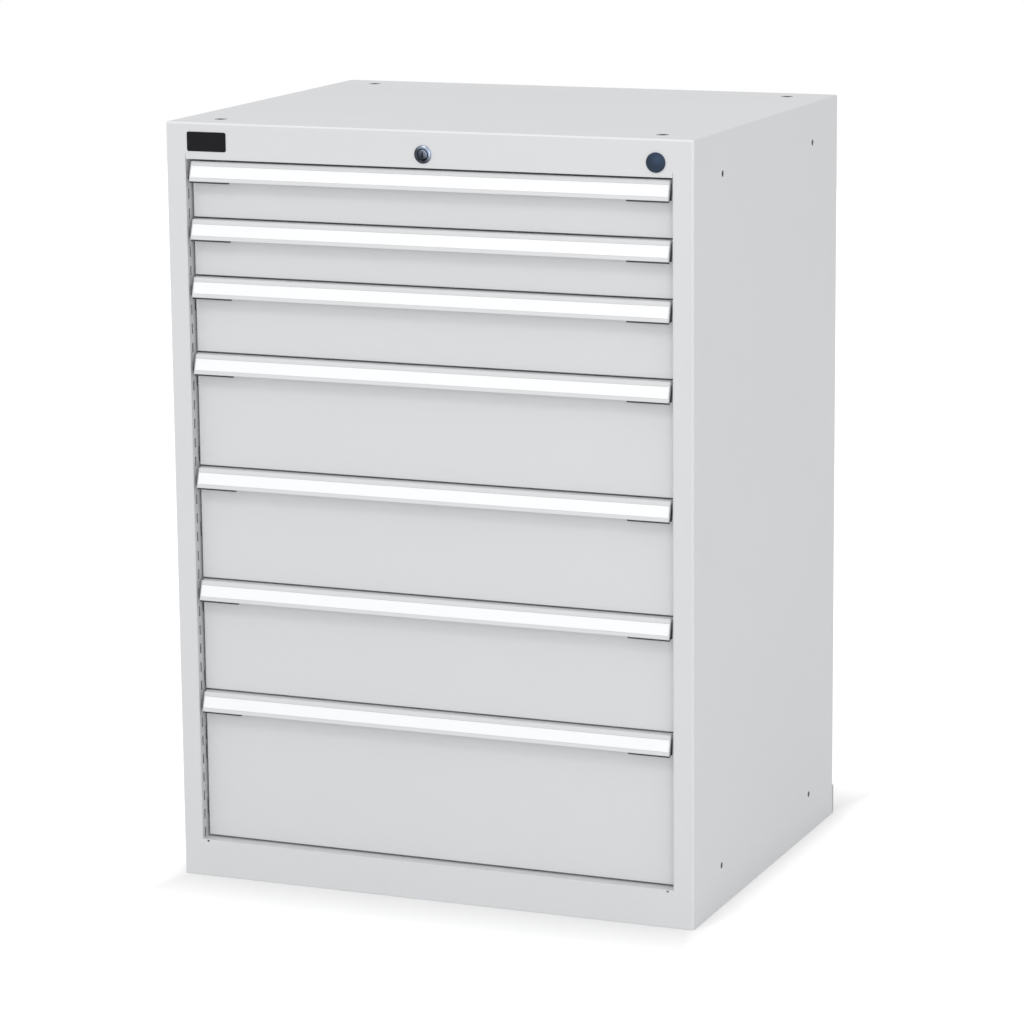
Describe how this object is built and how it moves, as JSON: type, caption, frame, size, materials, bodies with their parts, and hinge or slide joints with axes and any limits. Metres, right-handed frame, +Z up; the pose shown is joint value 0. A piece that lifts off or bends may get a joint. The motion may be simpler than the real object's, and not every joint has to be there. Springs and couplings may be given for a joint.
{
  "type": "drawer cabinet",
  "caption": "Steel cabinet with full-width drawers of stepped heights on telescopic runners, label handles and a central lock.",
  "frame": {"origin": "on the floor under the middle of the cabinet's outer box", "axes": "X to the right seen from the front, Y from the drawer fronts to the back, Z up"},
  "size_m": [0.717, 0.579, 1],
  "materials": {
    "carcass_paint": "light grey powder coat, fine texture, satin",
    "drawer_paint": "light grey powder coat, fine texture, satin",
    "handle_paint": "light grey powder coat, smooth satin",
    "label_white": "matt white",
    "cap_plastic": "matt grey",
    "zinc_sheet": "zinc plated",
    "lock_metal": "satin nickel",
    "dark_plastic": "matt black",
    "slate_plastic": "satin slate blue",
    "black_plastic": "gloss black, bare"
  },
  "bodies": {
    "carcass": {"side_panel_left": "carcass_paint", "side_panel_right": "carcass_paint", "top_panel": "carcass_paint", "base_panel": "carcass_paint", "back_panel": "carcass_paint", "rear_plinth": "carcass_paint", "front_uprights": "zinc_sheet", "rear_uprights": "zinc_sheet", "cabinet_runners": "zinc_sheet", "lock_housing": "lock_metal", "lock_nut": "zinc_sheet", "locking_bar_guides": "dark_plastic", "blanking_plug": "slate_plastic", "badge_plate": "black_plastic", "top_bushes": "zinc_sheet"},
    "lock_core": {"lock_barrel": "lock_metal", "lock_rod": "zinc_sheet"},
    "bar": {"locking_bar": "zinc_sheet"},
    "drawer_1": {"drawer_tray_1": "drawer_paint", "drawer_front_1": "drawer_paint", "handle_1": "handle_paint", "label_strip_1": "label_white", "handle_end_caps_1": "cap_plastic"},
    "runner_pair_1": {"middle_runners_1": "zinc_sheet"},
    "drawer_2": {"drawer_tray_2": "drawer_paint", "drawer_front_2": "drawer_paint", "handle_2": "handle_paint", "label_strip_2": "label_white", "handle_end_caps_2": "cap_plastic"},
    "runner_pair_2": {"middle_runners_2": "zinc_sheet"},
    "drawer_3": {"drawer_tray_3": "drawer_paint", "drawer_front_3": "drawer_paint", "handle_3": "handle_paint", "label_strip_3": "label_white", "handle_end_caps_3": "cap_plastic"},
    "runner_pair_3": {"middle_runners_3": "zinc_sheet"},
    "drawer_4": {"drawer_tray_4": "drawer_paint", "drawer_front_4": "drawer_paint", "handle_4": "handle_paint", "label_strip_4": "label_white", "handle_end_caps_4": "cap_plastic"},
    "runner_pair_4": {"middle_runners_4": "zinc_sheet"},
    "drawer_5": {"drawer_tray_5": "drawer_paint", "drawer_front_5": "drawer_paint", "handle_5": "handle_paint", "label_strip_5": "label_white", "handle_end_caps_5": "cap_plastic"},
    "runner_pair_5": {"middle_runners_5": "zinc_sheet"},
    "drawer_6": {"drawer_tray_6": "drawer_paint", "drawer_front_6": "drawer_paint", "handle_6": "handle_paint", "label_strip_6": "label_white", "handle_end_caps_6": "cap_plastic"},
    "runner_pair_6": {"middle_runners_6": "zinc_sheet"},
    "drawer_7": {"drawer_tray_7": "drawer_paint", "drawer_front_7": "drawer_paint", "handle_7": "handle_paint", "label_strip_7": "label_white", "handle_end_caps_7": "cap_plastic"},
    "runner_pair_7": {"middle_runners_7": "zinc_sheet"}
  },
  "joints": [
    {"name": "lock_turn", "type": "hinge", "parent": "carcass", "child": "lock_core", "pos_m": [0, -0.2865, 0.97], "axis": [0, 1, 0], "range_deg": [0, 90]},
    {"name": "bar_slide", "type": "slide", "parent": "carcass", "child": "bar", "axis": [0, 0, 1], "range_m": [0, 0.01414]},
    {"name": "drawer_1_slide", "type": "slide", "parent": "carcass", "child": "drawer_1", "axis": [0, -1, 0], "range_m": [0, 0.49]},
    {"name": "runner_1_slide", "type": "slide", "parent": "carcass", "child": "runner_pair_1", "axis": [0, -1, 0], "range_m": [0, 0.245]},
    {"name": "drawer_2_slide", "type": "slide", "parent": "carcass", "child": "drawer_2", "axis": [0, -1, 0], "range_m": [0, 0.49]},
    {"name": "runner_2_slide", "type": "slide", "parent": "carcass", "child": "runner_pair_2", "axis": [0, -1, 0], "range_m": [0, 0.245]},
    {"name": "drawer_3_slide", "type": "slide", "parent": "carcass", "child": "drawer_3", "axis": [0, -1, 0], "range_m": [0, 0.49]},
    {"name": "runner_3_slide", "type": "slide", "parent": "carcass", "child": "runner_pair_3", "axis": [0, -1, 0], "range_m": [0, 0.245]},
    {"name": "drawer_4_slide", "type": "slide", "parent": "carcass", "child": "drawer_4", "axis": [0, -1, 0], "range_m": [0, 0.49]},
    {"name": "runner_4_slide", "type": "slide", "parent": "carcass", "child": "runner_pair_4", "axis": [0, -1, 0], "range_m": [0, 0.245]},
    {"name": "drawer_5_slide", "type": "slide", "parent": "carcass", "child": "drawer_5", "axis": [0, -1, 0], "range_m": [0, 0.49]},
    {"name": "runner_5_slide", "type": "slide", "parent": "carcass", "child": "runner_pair_5", "axis": [0, -1, 0], "range_m": [0, 0.245]},
    {"name": "drawer_6_slide", "type": "slide", "parent": "carcass", "child": "drawer_6", "axis": [0, -1, 0], "range_m": [0, 0.49]},
    {"name": "runner_6_slide", "type": "slide", "parent": "carcass", "child": "runner_pair_6", "axis": [0, -1, 0], "range_m": [0, 0.245]},
    {"name": "drawer_7_slide", "type": "slide", "parent": "carcass", "child": "drawer_7", "axis": [0, -1, 0], "range_m": [0, 0.49]},
    {"name": "runner_7_slide", "type": "slide", "parent": "carcass", "child": "runner_pair_7", "axis": [0, -1, 0], "range_m": [0, 0.245]}
  ],
  "couplings": [
    {"joint": "lock_turn", "follows": "bar_slide", "rad_per_m": 111.07},
    {"joint": "runner_1_slide", "follows": "drawer_1_slide", "ratio": 0.5},
    {"joint": "runner_2_slide", "follows": "drawer_2_slide", "ratio": 0.5},
    {"joint": "runner_3_slide", "follows": "drawer_3_slide", "ratio": 0.5},
    {"joint": "runner_4_slide", "follows": "drawer_4_slide", "ratio": 0.5},
    {"joint": "runner_5_slide", "follows": "drawer_5_slide", "ratio": 0.5},
    {"joint": "runner_6_slide", "follows": "drawer_6_slide", "ratio": 0.5},
    {"joint": "runner_7_slide", "follows": "drawer_7_slide", "ratio": 0.5}
  ]
}
